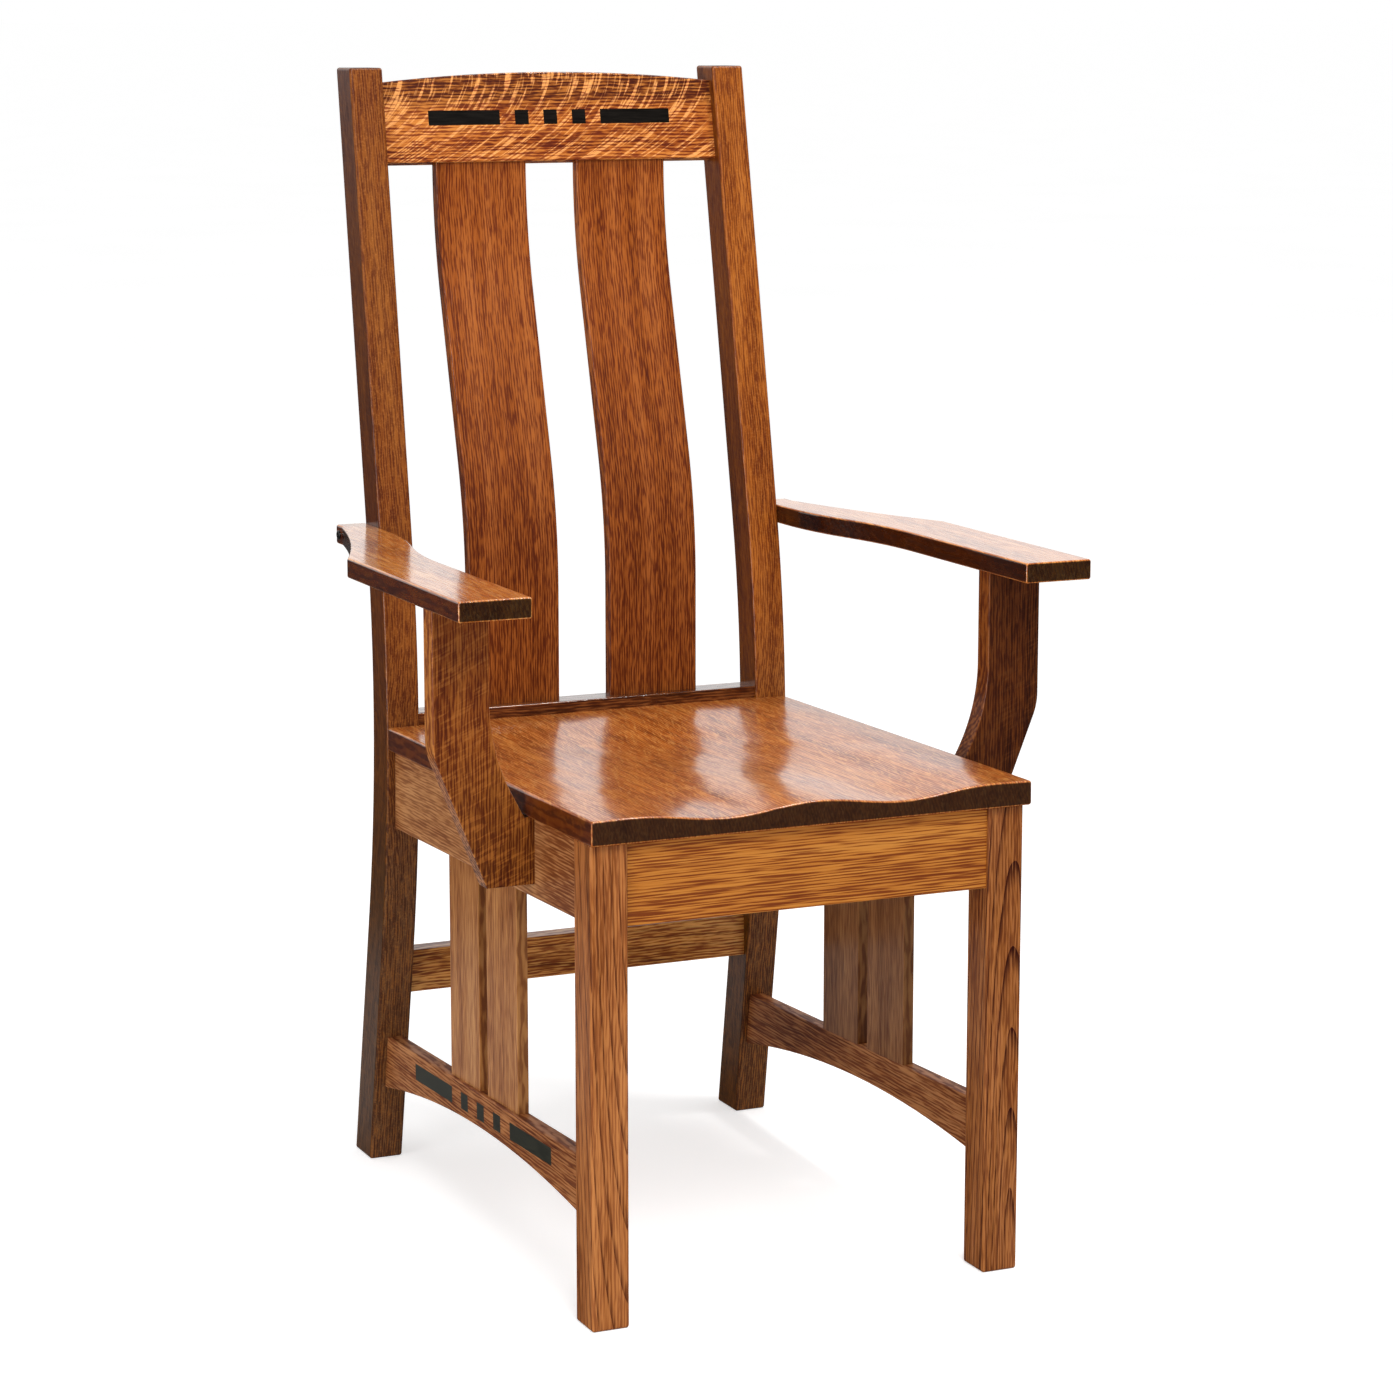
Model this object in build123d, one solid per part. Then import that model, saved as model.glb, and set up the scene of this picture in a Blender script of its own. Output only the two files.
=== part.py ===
from build123d import *
from math import atan, cos, degrees, pi, radians, sin, tan
import os

os.makedirs("parts", exist_ok=True)

# Dining armchair in solid oak: slatted back, scooped plank seat, slatted sides and bracketed arms.
# Lengths are in millimetres and angles in degrees. X runs across the chair, its front faces -Y, Z is up.
# While the pieces are made, y is measured back from the front faces of the front legs. The last step
# moves every piece so that the origin lies on the floor under the middle of the whole chair.
# Left is the -X side, which is the left side for someone who looks at the front of the chair.

# Front legs and the frame under the seat
leg_width = 36.0
leg_depth = 39.0
front_width = 430.0
seat_height = 445.0
seat_fall = 0.9
front_apron_height = 77.0
side_apron_front_height = 75.0
side_apron_rear_height = 80.0
apron_thickness = 19.0
front_apron_setback = 4.0
side_inset = 4.0
leg_ease = 2.8

# Rear posts: straight below and above, with one long bend at seat height, leaning in towards the top
post_height = 1103.6
post_width = 34.5
post_depth = 41.0
post_foot_depth = 46.5
foot_spread = 447.3
top_spread = 426.5
bend_height = 454.0
bend_setback = 536.0
post_rake = 10.0
post_kick = 10.0
post_back_radius = 1100.0
post_front_radius = 1250.0

# Crest rail
crest_reveal = 5.0
crest_arch = 11.4
crest_height = 78.0
crest_thickness = 22.0
crest_setback = 10.0

# Lower back rail and rear apron
rail_setback = 3.6
rail_thickness = 30.0
rail_lip = 12.0
rear_apron_thickness = 22.0

# Back slats
slat_width = 96.5
slat_gap = 55.3
slat_thickness = 13.0
slat_foot_setback = 12.5
slat_head_setback = 5.0
slat_low_bend_share = 0.336
slat_high_bend_share = 0.1207
slat_bend_share = 0.88
slat_housing = 12.0

# Seat
seat_width = 436.0
seat_overhang = 10.0
seat_thickness = 23.0
seat_ease = 2.6
thigh_depth = 7.6
hip_depth = 9.5
thigh_width_share = 0.80
thigh_length_share = 0.62
hip_width_share = 0.88
hip_start_share = 0.06
hip_middle_share = 0.62
hip_end_share = 0.95
scoop_grid = 16

# Side stretchers, arched underneath, and the rear stretcher
stretcher_top = 153.5
stretcher_fall = 2.2
stretcher_end_height = 54.5
stretcher_arch = 20.5
stretcher_flat = 4.0
stretcher_thickness = 16.0
rear_stretcher_height = 43.5
rear_stretcher_top = 222.0
rear_stretcher_thickness = 24.0

# Side slats between the side aprons and the side stretchers
side_slat_width = 77.0
side_slat_gap = 21.0
side_slat_thickness = 11.0
side_slat_housing = 8.0

# Inlaid bars and squares
inlay_depth = 2.5
crest_inlay_size = 14.5
crest_inlay_gap = 16.5
crest_inlay_bar = 76.0
crest_inlay_drop = 50.5
side_inlay_size = 18.5
side_inlay_height = 16.5
side_inlay_gap = 24.4
side_inlay_bar = 103.0
side_inlay_drop = 18.0
side_pattern_shift = 5.5

# Arms
arm_height = 657.5
arm_thickness = 19.0
arm_inner_half = 245.0
arm_width = 69.0
arm_front = 55.0
arm_overhang = 2.1
arm_tab_width = 31.0
arm_tab_length = 18.0
arm_flare_angle = 12.0
arm_flare_corner = 347.0
arm_flare_inner_front = 285.0
arm_tab_inner_length = 64.0
arm_let_in = 1.0
arm_ease = 2.4

# Arm posts, boards that curve in under the edge of the seat
arm_post_front = 140.0
arm_post_thickness = 22.0
arm_post_width = 54.5
arm_post_inset = 8.0
arm_post_drop = 65.0
arm_post_tail = 46.0
arm_post_outer_bend_share = 0.328
arm_post_outer_radius_share = 0.307
arm_post_inner_bend_share = 0.318
arm_post_inner_radius_share = 0.92
arm_post_seat_gap = 2.5

# Corner blocks under the seat
block_reach = 62.0
block_height = 24.0
block_gap = 1.0

# Tenons, dowels, screws and bolts
side_tenon = 18.0
cross_tenon = 10.0
crest_tenon = 16.0
tenon_thickness = 9.5
tenon_shoulder = 11.0
tenon_root = 12.0
joint_gap = 0.1
tenon_end_gap = 0.6
dowel_diameter = 9.5
dowel_length = 26.0
dowel_spacing = 26.0
bore_gap = 0.2
screw_shank = 4.5
screw_head = 8.0
screw_head_height = 3.0
seat_screw_length = 38.0
arm_post_screw_length = 36.0
arm_post_screw_spacing = 32.0
arm_bolt_length = 46.0
bolt_well = 7.0
bolt_setback = 9.5
cap_diameter = 9.2
cap_dome = 1.8
cap_stem = 3.0
cap_stem_diameter = 8.2

# Shared
board_ease = 1.6
overrun = 5.0

fall_slope = tan(radians(seat_fall))
rake_slope = tan(radians(post_rake))
kick_slope = tan(radians(post_kick))
stretcher_slope = tan(radians(stretcher_fall))
lean_slope = (foot_spread - top_spread) / 2 / post_height
side_face = front_width / 2 - side_inset
seat_half = seat_width / 2
arm_underside = arm_height - arm_thickness
arm_post_bottom = seat_height - arm_post_drop
arm_back = bend_setback + rake_slope * (arm_height - bend_height) + arm_overhang
arm_flare_back = arm_back - arm_tab_length
arm_flare_inner_back = arm_back - arm_tab_inner_length
front_bend_height = bend_height - (post_foot_depth - post_depth) / (rake_slope + kick_slope)
front_bend_y = bend_setback - rake_slope * (bend_height - front_bend_height) - post_depth
bend_rounding = 1 / cos(radians((post_rake + post_kick) / 2)) - 1
rail_front = front_bend_y + post_front_radius * bend_rounding + rail_setback
post_top_front = bend_setback + rake_slope * (post_height - bend_height) - post_depth
crest_face_top = post_top_front + crest_setback
crest_foot = crest_reveal + crest_arch + crest_height


def seat_underside(y):
    """Height of the seat's underside at depth y."""
    return seat_height - fall_slope * y


def post_outer(z):
    """Half of the distance over the rear posts at height z."""
    return foot_spread / 2 - lean_slope * z


def lower_post_front(z):
    """Front face of a rear post at height z, on its straight part below the bend."""
    return bend_setback + kick_slope * (bend_height - z) - post_foot_depth


def stretcher_line(y):
    """Height of the top edge of a side stretcher at depth y."""
    return stretcher_top - stretcher_slope * (y - leg_depth)


def side_apron_line(y):
    """Height of the bottom edge of a side apron at depth y."""
    front = seat_underside(leg_depth) - side_apron_front_height
    back = seat_underside(rail_front) - side_apron_rear_height
    return front + (back - front) * (y - leg_depth) / (rail_front - leg_depth)


side_middle = (leg_depth + lower_post_front(stretcher_top)) / 2 - side_pattern_shift


def block(x, y, z):
    """Box between two values on each axis, each given as a pair."""
    centre = Pos((x[0] + x[1]) / 2, (y[0] + y[1]) / 2, (z[0] + z[1]) / 2)
    return centre * Box(x[1] - x[0], y[1] - y[0], z[1] - z[0])


def widened(pair, gap):
    """The pair with a gap added at both ends."""
    return pair[0] - gap, pair[1] + gap


def side_board(edges, x):
    """Board whose outline lies in the side view, between two values of x."""
    face = Plane.YZ * make_face(edges)
    return Pos(x[0], 0, 0) * extrude(face, amount=x[1] - x[0])


def side_polygon(points, x):
    """Board with a straight-sided outline in the side view, between two values of x."""
    return side_board(Polyline(*points, close=True).edges(), x)


def eased(solid, radius):
    """The solid with all its edges rounded."""
    return fillet(solid.edges(), radius)


def mirrored(solid):
    """The matching piece on the left side."""
    return mirror(solid, about=Plane.YZ)


def join(base, extra):
    """One solid made of a board and its tenons."""
    for piece in extra:
        base = base + piece
    return base


def cut(base, tools):
    """The base with every tool taken away."""
    for tool in tools:
        base = base - tool
    return base


def tenon(x, y, z):
    """A tenon and the mortise that it fits."""
    mortise = block(widened(x, joint_gap), widened(y, joint_gap), widened(z, joint_gap))
    return block(x, y, z), mortise


def post_core():
    """Right rear post with square edges and no mortises."""
    top = post_height + overrun
    back_foot = bend_setback + kick_slope * (bend_height + overrun)
    back_top = bend_setback + rake_slope * (top - bend_height)
    back = [(back_foot, -overrun), (bend_setback, bend_height), (back_top, top)]
    front = [(back_foot - post_foot_depth, -overrun), (front_bend_y, front_bend_height),
             (back_top - post_depth, top)]
    edges = FilletPolyline(*back, radius=post_back_radius).edges()
    edges += FilletPolyline(*front, radius=post_front_radius).edges()
    edges += [Line(back[0], front[0]), Line(back[-1], front[-1])]
    upright = side_board(edges, (-post_width / 2, post_width / 2))
    leaning = Rot(0, -degrees(atan(lean_slope)), 0) * upright
    placed = Pos(foot_spread / 2 - post_width / 2, 0, 0) * leaning
    return placed & block((0, foot_spread), (0, bend_setback * 2), (0, post_height))


def front_leg_core():
    """Right front leg with square edges, its top cut to the slope of the seat."""
    outline = [(0, 0), (leg_depth, 0), (leg_depth, seat_underside(leg_depth)), (0, seat_underside(0))]
    return side_polygon(outline, (front_width / 2 - leg_width, front_width / 2))


def crest_plane():
    """Front face of the crest rail, with the origin level with the tops of the posts."""
    facing = (0, -cos(radians(post_rake)), sin(radians(post_rake)))
    return Plane(origin=(0, crest_face_top, post_height), x_dir=(1, 0, 0), z_dir=facing)


def crest_blank(posts):
    """Arched crest rail cut to length between the posts."""
    half = top_spread / 2 - post_width / 2
    shoulder = -crest_reveal - crest_arch
    arch = ThreePointArc((-half, shoulder), (0, -crest_reveal), (half, shoulder))
    rest = Polyline((half, shoulder), (half, -crest_foot), (-half, -crest_foot), (-half, shoulder))
    face = crest_plane() * make_face(arch.edges() + rest.edges())
    return cut(eased(extrude(face, amount=-crest_thickness), board_ease), posts)


def crest_tenons():
    """Bar through the length of the crest rail that forms its two tenons, and the mortises' bar."""
    level = -(crest_reveal + crest_arch + crest_foot) / 2
    height = crest_height - tenon_shoulder * 2
    half = post_outer(post_height - crest_foot) - post_width + crest_tenon
    place = crest_plane() * Pos(0, level, -crest_thickness / 2)
    bar = place * Box(half * 2, height, tenon_thickness)
    gap = joint_gap * 2
    return bar, place * Box((half + tenon_end_gap) * 2, height + gap, tenon_thickness + gap)


def cross_board(posts, points):
    """Rail between the rear posts, from its outline in the side view."""
    reach = foot_spread / 2 - post_width / 2
    return cut(eased(side_polygon(points, (-reach, reach)), board_ease), posts)


def cross_tenons(y, z):
    """Bar that forms both tenons of a cross rail, and the mortises' bar."""
    middle = (y[0] + y[1]) / 2
    thick = (middle - tenon_thickness / 2, middle + tenon_thickness / 2)
    half = post_outer((z[0] + z[1]) / 2) - post_width + cross_tenon
    bar = block((-half, half), thick, z)
    end = half + tenon_end_gap
    return bar, block((-end, end), widened(thick, joint_gap), widened(z, joint_gap))


def back_slat(spare):
    """Right back slat, bowed in the side view, enlarged all round by a spare amount."""
    centre = (slat_gap + slat_width) / 2
    foot = rail_front + slat_foot_setback
    crest_low = post_height - crest_foot * cos(radians(post_rake))
    head = crest_face_top - crest_foot * sin(radians(post_rake)) + slat_head_setback
    rail_top = seat_underside(rail_front) + seat_thickness + rail_lip
    rise = crest_low - rail_top
    line = [(foot, rail_top - slat_housing), (foot, rail_top + rise * slat_low_bend_share),
            (head, crest_low - rise * slat_high_bend_share), (head, crest_low + slat_housing)]
    line[0] = (foot, line[0][1] - spare)
    line[-1] = (head, line[-1][1] + spare)
    middle_run = rise * (1 - slat_low_bend_share - slat_high_bend_share)
    turn = atan((head - foot) / middle_run)
    rounding = (rise * slat_high_bend_share + slat_housing) * slat_bend_share
    front = FilletPolyline(*line, radius=rounding / tan(turn / 2))
    thick = slat_thickness + spare * 2
    front = Pos(-spare, 0, 0) * front
    back = Pos(thick, 0, 0) * front
    ends = [Line(front @ 0, back @ 0), Line(front @ 1, back @ 1)]
    half = slat_width / 2 + spare
    return side_board(front.edges() + back.edges() + ends, (centre - half, centre + half))


def seat_place():
    """Frame of the seat: origin on its underside above the legs' front faces, falling to the back."""
    return Pos(0, 0, seat_height) * Rot(-seat_fall, 0, 0)


def wave(share):
    """Smooth rise and fall: nought outside 0 to 1 and at both ends, one in the middle."""
    inside = min(max(share, 0), 1)
    return sin(pi * inside) ** 2


def scoop(x, y):
    """Depth of the seat's hollow under its flat top, at a place in the seat's own frame."""
    across = abs(x) / seat_half
    along = (y + seat_overhang) / (rail_front + seat_overhang)
    thighs = thigh_depth * wave(across / thigh_width_share) * wave((1 + along / thigh_length_share) / 2)
    if along < hip_middle_share:
        run = (along - hip_start_share) / (hip_middle_share - hip_start_share) / 2
    else:
        run = (1 + (along - hip_middle_share) / (hip_end_share - hip_middle_share)) / 2
    hips = hip_depth * wave((1 + across / hip_width_share) / 2) * wave(run)
    return thighs + hips


def above_seat_top():
    """Everything over the scooped top of the seat, down to one smooth surface."""
    reach = seat_half + overrun
    front = -seat_overhang - overrun
    length = rail_front + overrun * 2 - front
    rows = []
    for i in range(scoop_grid + 1):
        x = -reach + reach * 2 * i / scoop_grid
        row = []
        for j in range(scoop_grid + 1):
            y = front + length * j / scoop_grid
            row.append((x, y, seat_thickness - scoop(x, y)))
        rows.append(row)
    surface = Face.make_surface_from_array_of_points(rows)
    return extrude(surface, amount=seat_thickness, dir=(0, 0, 1))


def seat_blank():
    """Plank seat with its scooped top and eased edges, before it is fitted to the back."""
    length = rail_front + overrun
    plank = block((-seat_half, seat_half), (-seat_overhang, length), (0, seat_thickness + overrun))
    return seat_place() * eased(plank - above_seat_top(), seat_ease)


def above_seat_underside():
    """Everything within reach above the plane of the seat's underside."""
    deep = bend_setback * 2
    return seat_place() * block((-foot_spread, foot_spread), (-deep, deep), (0, seat_height))


def front_apron_board(legs):
    """Apron between the front legs."""
    y = (front_apron_setback, front_apron_setback + apron_thickness)
    reach = front_width / 2 - leg_width / 2
    top = [(side, seat_underside(side)) for side in y]
    bottom = [(side, seat_underside(y[1]) - front_apron_height) for side in reversed(y)]
    return cut(eased(side_polygon(top + bottom, (-reach, reach)), board_ease), legs)


def side_apron_board(leg, post):
    """Right side apron, from the front leg back to the rear post."""
    y = (leg_depth / 2, rail_front + post_depth / 2)
    top = [(side, seat_underside(side)) for side in y]
    bottom = [(side, side_apron_line(side)) for side in reversed(y)]
    board = side_polygon(top + bottom, (side_face - apron_thickness, side_face))
    return cut(eased(board, board_ease), [leg, post])


def side_stretcher_blank(leg, post):
    """Right side stretcher, arched underneath, from the front leg back to the rear post."""
    start = leg_depth / 2
    end = lower_post_front(stretcher_top) + post_foot_depth / 2
    heel = lower_post_front(stretcher_line(end) - stretcher_end_height)
    middle = (leg_depth + heel) / 2
    places = (leg_depth + stretcher_flat, start, end, heel - stretcher_flat)
    low = [(y, stretcher_line(y) - stretcher_end_height) for y in places]
    high = [(y, stretcher_line(y)) for y in (start, end)]
    crown = (middle, stretcher_line(middle) - stretcher_end_height + stretcher_arch)
    edges = Polyline(low[0], low[1], high[0], high[1], low[2], low[3]).edges()
    edges += ThreePointArc(low[0], crown, low[3]).edges()
    board = side_board(edges, (side_face - stretcher_thickness, side_face))
    return cut(eased(board, board_ease), [leg, post])


def side_slat(place, spare):
    """Right side slat centred at depth place, housed at both ends, enlarged by a spare amount."""
    centre = side_face - apron_thickness / 2
    half = side_slat_thickness / 2 + spare
    wide = side_slat_width / 2 + spare
    low = stretcher_line(place + side_slat_width / 2) - side_slat_housing - spare
    high = side_apron_line(place) + side_slat_housing + spare
    return block((centre - half, centre + half), (place - wide, place + wide), (low, high))


def inlay_places(size, gap, bar):
    """Centres and lengths of the three squares and two bars, along the line of the inlay."""
    pitch = size + gap
    squares = [(-pitch, size), (0, size), (pitch, size)]
    far = size * 3 / 2 + gap * 2 + bar / 2
    return squares, [(-far, bar), (far, bar)]


def inlay_set(plane, size, height, gap, bar):
    """Inlaid squares, inlaid bars and the pockets for them, on a plane that faces outwards."""
    squares, bars = inlay_places(size, gap, bar)
    pieces = []
    pockets = []
    for group in (squares, bars):
        solids = []
        for place, length in group:
            solids.append(plane * Pos(place, 0, -inlay_depth / 2) * Box(length, height, inlay_depth))
            pocket = Box(length + joint_gap * 2, height + joint_gap * 2, inlay_depth + overrun)
            pockets.append(plane * Pos(place, 0, (overrun - inlay_depth) / 2) * pocket)
        pieces.append(solids)
    return pieces[0], pieces[1], pockets


def side_inlay_plane():
    """Outer face of the right side stretcher, at the middle of its inlay."""
    along = (0, cos(radians(stretcher_fall)), -sin(radians(stretcher_fall)))
    origin = (side_face, side_middle, stretcher_line(side_middle) - side_inlay_drop)
    return Plane(origin=origin, x_dir=along, z_dir=(1, 0, 0))


def arm_board():
    """Right arm: a narrow tab beside the post that flares out to a wide straight front."""
    outer = arm_inner_half + arm_width
    inner = post_outer(arm_height) - arm_let_in
    tab = inner + arm_tab_width
    middle = ((arm_inner_half + inner) / 2, (arm_flare_inner_front + arm_flare_inner_back) / 2)
    flare = (sin(radians(arm_flare_angle)), -cos(radians(arm_flare_angle)))
    edges = [
        Line((inner, arm_back), (tab, arm_back)),
        Line((tab, arm_back), (tab, arm_flare_back)),
        TangentArc((tab, arm_flare_back), (outer, arm_flare_corner), tangent=flare),
        Line((outer, arm_flare_corner), (outer, arm_front)),
        Line((outer, arm_front), (arm_inner_half, arm_front)),
        Line((arm_inner_half, arm_front), (arm_inner_half, arm_flare_inner_front)),
        TangentArc((arm_inner_half, arm_flare_inner_front), middle, tangent=(0, 1)),
        TangentArc((inner, arm_flare_inner_back), middle, tangent=(0, -1)),
        Line((inner, arm_flare_inner_back), (inner, arm_back)),
    ]
    board = extrude(make_face(edges), amount=arm_thickness)
    return Pos(0, 0, arm_underside) * eased(board, arm_ease)


def arm_post_board():
    """Right arm post: upright under the arm, then curved in to lie against the side apron."""
    inner = arm_inner_half + arm_post_inset
    outer = inner + arm_post_width
    ledge = seat_underside(arm_post_front)
    ledge_x = seat_half + arm_post_seat_gap
    tail = side_face + arm_post_tail
    rise = arm_underside - ledge
    inner_bend = ledge + rise * arm_post_inner_bend_share
    outer_bend = ledge + rise * arm_post_outer_bend_share
    inside = [(inner, arm_underside), (inner, inner_bend), (ledge_x, ledge)]
    tongue = [(ledge_x, ledge), (side_face, ledge), (side_face, arm_post_bottom), (tail, arm_post_bottom)]
    outside = [(tail, arm_post_bottom), (outer, outer_bend), (outer, arm_underside)]
    edges = FilletPolyline(*inside, radius=rise * arm_post_inner_radius_share).edges()
    edges += Polyline(*tongue).edges()
    edges += FilletPolyline(*outside, radius=rise * arm_post_outer_radius_share).edges()
    edges += [Line(outside[-1], inside[0])]
    face = Plane.XZ * make_face(edges)
    board = Pos(0, arm_post_front, 0) * extrude(face, amount=-arm_post_thickness)
    long_edges = board.edges().filter_by(Axis.Y, reverse=True)
    kept = [edge for edge in long_edges if edge.center().X > side_face + board_ease]
    lip = [edge for edge in kept if edge.center().Z < arm_underside - board_ease]
    clear = [edge for edge in lip if abs(edge.center().Z - ledge) > board_ease]
    return fillet(clear, board_ease) - above_seat_shelf()


def above_seat_shelf():
    """Space of the seat's plank, which the arm post's tongue passes under."""
    deep = rail_front
    plank = block((-seat_half - arm_post_seat_gap, seat_half + arm_post_seat_gap), (0, deep),
                  (0, seat_thickness))
    return seat_place() * plank


def corner_block(corner, notch, turn):
    """Block in a corner of the seat frame. Its notch clears the leg or post. Turn is +1 at the front."""
    x, y = corner
    points = [(x - notch[0], y), (x - block_reach, y), (x, y + turn * block_reach),
              (x, y + turn * notch[1]), (x - notch[0], y + turn * notch[1])]
    top = seat_underside(y + turn * block_reach / 2)
    low = top - block_height
    face = make_face(Polyline(*points, close=True).edges())
    prism = Pos(0, 0, low) * extrude(face, amount=block_height + overrun)
    return prism - above_seat_underside()


def fastener(length):
    """Screw along +Z: its head stands below the origin and its shank above it."""
    head = Pos(0, 0, -screw_head_height / 2) * Cylinder(screw_head / 2, screw_head_height)
    shank = Pos(0, 0, length / 2) * Cylinder(screw_shank / 2, length)
    return head + shank


def fastener_bore(length, well):
    """Hole for a screw, with a well for its head."""
    head = Pos(0, 0, -well / 2) * Cylinder(screw_head / 2 + bore_gap, well)
    shank = Pos(0, 0, (length + bore_gap) / 2) * Cylinder(screw_shank / 2 + bore_gap, length + bore_gap)
    return head + shank


def facing_x(x, y, z):
    """Location that turns a piece made along +Z to run along +X from the given point."""
    return Pos(x, y, z) * Rot(0, 90, 0)


def facing_minus_x(x, y, z):
    """Location that turns a piece made along +Z to run along -X from the given point."""
    return Pos(x, y, z) * Rot(0, -90, 0)


# Uncut cores, which the other pieces are trimmed against
right_post = post_core()
left_post = mirrored(right_post)
posts = [left_post, right_post]
right_leg = front_leg_core()

# Joints of the cross rails with the rear posts
crest_bar, crest_mortise = crest_tenons()
rail_top = seat_underside(rail_front) + seat_thickness + rail_lip
rail_back = rail_front + rail_thickness
rear_apron_back = rail_front + rear_apron_thickness
rear_apron_top = seat_underside(rear_apron_back)
rear_apron_low = rear_apron_top - side_apron_rear_height
rail_bar, rail_mortise = cross_tenons((rail_front, rail_back),
                                      (rear_apron_top + tenon_shoulder / 2, rail_top - tenon_shoulder / 2))
rear_apron_bar, rear_apron_mortise = cross_tenons(
    (rail_front, rear_apron_back), (rear_apron_low + tenon_shoulder, rear_apron_top - tenon_shoulder))
stretcher_middle = rear_stretcher_top - rear_stretcher_height / 2
stretcher_y = lower_post_front(stretcher_middle) + post_foot_depth / 2
rear_stretcher_y = widened((stretcher_y, stretcher_y), rear_stretcher_thickness / 2)
rear_stretcher_z = (rear_stretcher_top - rear_stretcher_height, rear_stretcher_top)
rear_stretcher_bar, rear_stretcher_mortise = cross_tenons(
    rear_stretcher_y, widened(rear_stretcher_z, -tenon_shoulder))

# Joints of the side boards with the legs and posts
apron_middle = side_face - apron_thickness / 2
apron_tenon_x = widened((apron_middle, apron_middle), tenon_thickness / 2)
stretcher_centre = side_face - stretcher_thickness / 2
stretcher_tenon_x = widened((stretcher_centre, stretcher_centre), tenon_thickness / 2)
apron_front_z = (side_apron_line(leg_depth) + tenon_shoulder, seat_underside(leg_depth) - tenon_shoulder)
apron_back_z = (side_apron_line(rail_front) + tenon_shoulder, seat_underside(rail_front) - tenon_shoulder)
post_face = rail_front - rail_setback
shoulder_z = stretcher_line(leg_depth)
shoulder_height = stretcher_end_height - tenon_shoulder - tenon_root
stretcher_front_z = (shoulder_z - shoulder_height, shoulder_z - tenon_shoulder)
heel_y = lower_post_front(stretcher_top - stretcher_end_height / 2)
heel_z = stretcher_line(heel_y)
stretcher_back_z = (heel_z - shoulder_height, heel_z - tenon_shoulder)
apron_front_tenon, apron_front_mortise = tenon(
    apron_tenon_x, (leg_depth - side_tenon, leg_depth + tenon_root), apron_front_z)
apron_back_tenon, apron_back_mortise = tenon(
    apron_tenon_x, (post_face - tenon_root, post_face + side_tenon), apron_back_z)
stretcher_front_tenon, stretcher_front_mortise = tenon(
    stretcher_tenon_x, (leg_depth - side_tenon, leg_depth + tenon_root), stretcher_front_z)
stretcher_back_tenon, stretcher_back_mortise = tenon(
    stretcher_tenon_x, (heel_y - tenon_root, heel_y + side_tenon), stretcher_back_z)
front_tenon_y = front_apron_setback + apron_thickness / 2
front_tenon_half = front_width / 2 - leg_width + cross_tenon
front_apron_bar, front_apron_mortise = tenon(
    (-front_tenon_half, front_tenon_half),
    widened((front_tenon_y, front_tenon_y), tenon_thickness / 2), apron_front_z)

# Dowels between the arm posts and the arms
dowel_x = arm_inner_half + arm_post_inset + arm_post_width / 2
dowel_y = arm_post_front + arm_post_thickness / 2
dowel_middle = arm_underside
right_dowels = []
dowel_bores = []
for offset in (-dowel_spacing / 2, dowel_spacing / 2):
    seat_of_dowel = Pos(dowel_x + offset, dowel_y, dowel_middle)
    right_dowels.append(seat_of_dowel * Cylinder(dowel_diameter / 2, dowel_length))
    upper = Cylinder(dowel_diameter / 2 + bore_gap, dowel_length / 2 + bore_gap,
                     align=(Align.CENTER, Align.CENTER, Align.MIN))
    lower = Cylinder(dowel_diameter / 2 + bore_gap, dowel_length / 2,
                     align=(Align.CENTER, Align.CENTER, Align.MAX))
    dowel_bores.append(seat_of_dowel * upper)
    dowel_bores.append(seat_of_dowel * lower)

# Screws through the side aprons into the arm posts, and bolts through the arms into the rear posts
right_arm_post_screws = []
arm_post_screw_bores = []
apron_inside = side_face - apron_thickness
screw_level = (arm_post_bottom + seat_underside(dowel_y)) / 2
for offset in (-arm_post_screw_spacing / 2, arm_post_screw_spacing / 2):
    place = facing_x(apron_inside + screw_head_height, dowel_y, screw_level + offset)
    right_arm_post_screws.append(place * fastener(arm_post_screw_length))
    arm_post_screw_bores.append(place * fastener_bore(arm_post_screw_length, screw_head_height + overrun))
arm_tab_face = post_outer(arm_height) - arm_let_in + arm_tab_width
bolt_y = arm_back - bolt_setback
bolt_z = arm_height - arm_thickness / 2
bolt_place = facing_minus_x(arm_tab_face - bolt_well, bolt_y, bolt_z)
right_bolt = bolt_place * fastener(arm_bolt_length)
bolt_bore = bolt_place * fastener_bore(arm_bolt_length, bolt_well + overrun)
cap_face = facing_x(arm_tab_face, bolt_y, bolt_z)
cap_flange = Pos(0, 0, cap_dome / 2) * Cylinder(cap_diameter / 2, cap_dome)
cap_top = cap_flange.edges().sort_by(Axis.Z)[-1]
right_cap = cap_face * (fillet(cap_top, cap_dome * 3 / 4)
                        + Pos(0, 0, -cap_stem / 2) * Cylinder(cap_stem_diameter / 2, cap_stem))

# Corner blocks and the seat screws through them
front_corner = (apron_inside, front_apron_setback + apron_thickness)
front_notch = (leg_width - side_inset - apron_thickness + block_gap,
               leg_depth - front_apron_setback - apron_thickness + block_gap)
post_inside = post_outer(seat_underside(rail_front)) - post_width
rear_corner = (apron_inside, rail_front)
rear_notch = (apron_inside - post_inside + block_gap, rail_setback + block_gap)
front_block = corner_block(front_corner, front_notch, 1)
rear_block = corner_block(rear_corner, rear_notch, -1)
seat_screws = []
seat_screw_bores = []
for corner, turn in ((front_corner, 1), (rear_corner, -1)):
    y = corner[1] + turn * block_reach / 3
    head_z = seat_underside(corner[1] + turn * block_reach / 2) - block_height + screw_head_height
    place = Pos(corner[0] - block_reach / 3, y, head_z)
    seat_screws.append(place * fastener(seat_screw_length))
    seat_screw_bores.append(place * fastener_bore(seat_screw_length, screw_head_height + overrun))
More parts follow.
